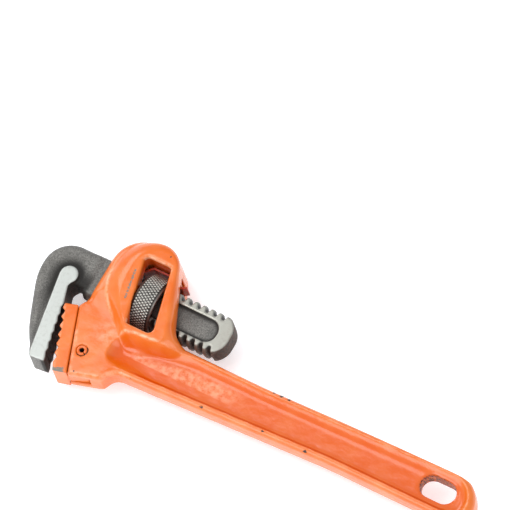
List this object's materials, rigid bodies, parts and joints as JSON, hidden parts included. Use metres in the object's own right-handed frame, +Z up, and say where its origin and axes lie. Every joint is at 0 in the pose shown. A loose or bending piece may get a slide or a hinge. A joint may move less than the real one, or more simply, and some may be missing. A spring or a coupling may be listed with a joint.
{
  "type": "pipe wrench",
  "caption": "Adjustable pipe wrench with an orange cast handle and nut housing, dark forged hook jaw, toothed heel jaw and a knurled adjusting nut.",
  "frame": {"origin": "centre of the base: the wrench lies flat on its side and its cheek rests on z = 0", "axes": "+X runs along the hook jaw's shank and the handle towards the handle's end, +Y towards the top of the nut housing, +Z up out of the side that faces up"},
  "size_m": [0.2245, 0.0714, 0.027],
  "materials": {
    "orange_paint": "glossy enamel sprayed over a rough casting",
    "forged_steel": "heat-treated forging with ground bright bands",
    "nut_steel": "blackened steel with a worn diamond knurl",
    "pin_steel": "plain rolled steel, oiled",
    "spring_steel": "drawn wire",
    "painted_spring_steel": "thin orange overspray on spring steel"
  },
  "bodies": {
    "handle": {"handle_body": "orange_paint", "heel_jaw": "orange_paint", "heel_jaw_pin": "pin_steel"},
    "spring_set": {"flat_spring": "painted_spring_steel", "coil_spring": "spring_steel", "spring_rivet": "pin_steel"},
    "hook": {"hook_jaw": "forged_steel"},
    "nut": {"adjusting_nut": "nut_steel"}
  },
  "joints": [
    {"name": "jaw_rock", "type": "hinge", "parent": "handle", "child": "spring_set", "pos_m": [-0.06085, 0.01126, 0.0135], "axis": [0, 0, -1], "range_deg": [0, 2.5], "stiffness_Nm_per_rad": 12, "springref_deg": -2.86, "deforming": ["flat_spring", "coil_spring"]},
    {"name": "jaw_slide", "type": "slide", "parent": "spring_set", "child": "hook", "axis": [-1, 0, 0], "range_m": [0, 0.028]},
    {"name": "nut_spin", "type": "hinge", "parent": "spring_set", "child": "nut", "pos_m": [-0.06085, 0.01126, 0.0135], "axis": [1, 0, 0], "range_deg": [-5, 2525]}
  ],
  "couplings": [
    {"joint": "nut_spin", "follows": "jaw_slide", "rad_per_m": 1570.8}
  ]
}
